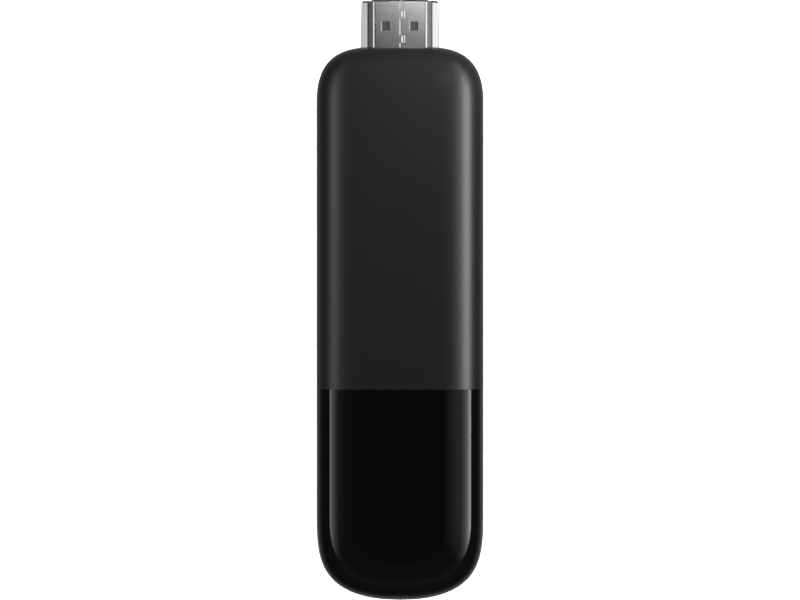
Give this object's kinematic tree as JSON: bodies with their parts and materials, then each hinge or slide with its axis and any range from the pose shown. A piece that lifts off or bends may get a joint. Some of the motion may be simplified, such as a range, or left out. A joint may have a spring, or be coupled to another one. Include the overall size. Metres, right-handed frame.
{
  "type": "streaming media player",
  "caption": "Pebble-shaped streaming media stick: matte black casing with a gloss lower cover, HDMI plug on one end, micro-USB power port in the side.",
  "frame": {"origin": "centre of the footprint of the whole stick, lying on its back, on the surface that the back face rests on", "axes": "+Z out of the front face, +Y along the stick's length towards the HDMI plug's tip, +X to the side that holds the micro-USB port"},
  "size_m": [0.0298, 0.1068, 0.0154],
  "materials": {
    "matte_case": "matte, fine spark-eroded grain",
    "gloss_cover": "polished",
    "plug_steel": "satin nickel-plated steel",
    "connector_plastic": "matte moulded",
    "contact_gold": "gold flash over copper alloy",
    "board_laminate": "green solder mask over glass-epoxy laminate",
    "chip_package": "matte epoxy",
    "shield_tin": "tin-plated steel",
    "spreader_aluminium": "rolled sheet",
    "thermal_pad": "soft silicone",
    "inductor_ferrite": "matte ferrite",
    "screw_steel": "black zinc",
    "led_resin": "clear resin"
  },
  "bodies": {
    "root": {"antenna_diversity": "shield_tin", "antenna_main": "shield_tin", "crystal": "shield_tin", "front_heat_spreader": "spreader_aluminium", "front_shell": "matte_case", "front_thermal_pad": "thermal_pad", "gloss_cover": "gloss_cover", "hdmi_contact_01": "contact_gold", "hdmi_contact_02": "contact_gold", "hdmi_contact_03": "contact_gold", "hdmi_contact_04": "contact_gold", "hdmi_contact_05": "contact_gold", "hdmi_contact_06": "contact_gold", "hdmi_contact_07": "contact_gold", "hdmi_contact_08": "contact_gold", "hdmi_contact_09": "contact_gold", "hdmi_contact_10": "contact_gold", "hdmi_contact_11": "contact_gold", "hdmi_contact_12": "contact_gold", "hdmi_contact_13": "contact_gold", "hdmi_contact_14": "contact_gold", "hdmi_contact_15": "contact_gold", "hdmi_contact_16": "contact_gold", "hdmi_contact_17": "contact_gold", "hdmi_contact_18": "contact_gold", "hdmi_contact_19": "contact_gold", "hdmi_insulator": "connector_plastic", "hdmi_shell": "plug_steel", "main_board": "board_laminate", "memory_chip": "chip_package", "power_chip": "chip_package", "power_inductor_1": "inductor_ferrite", "power_inductor_2": "inductor_ferrite", "processor": "chip_package", "processor_thermal_pad": "thermal_pad", "rear_heat_spreader": "spreader_aluminium", "rear_shell": "matte_case", "rear_thermal_pad": "thermal_pad", "shield_frame": "shield_tin", "shield_lid": "shield_tin", "spreader_screw_1": "screw_steel", "spreader_screw_2": "screw_steel", "spreader_screw_3": "screw_steel", "spreader_screw_4": "screw_steel", "status_led": "led_resin", "storage_chip": "chip_package", "usb_contact_1": "contact_gold", "usb_contact_2": "contact_gold", "usb_contact_3": "contact_gold", "usb_contact_4": "contact_gold", "usb_contact_5": "contact_gold", "usb_insulator": "connector_plastic", "usb_shell": "plug_steel", "wifi_module": "shield_tin"}
  },
  "joints": []
}
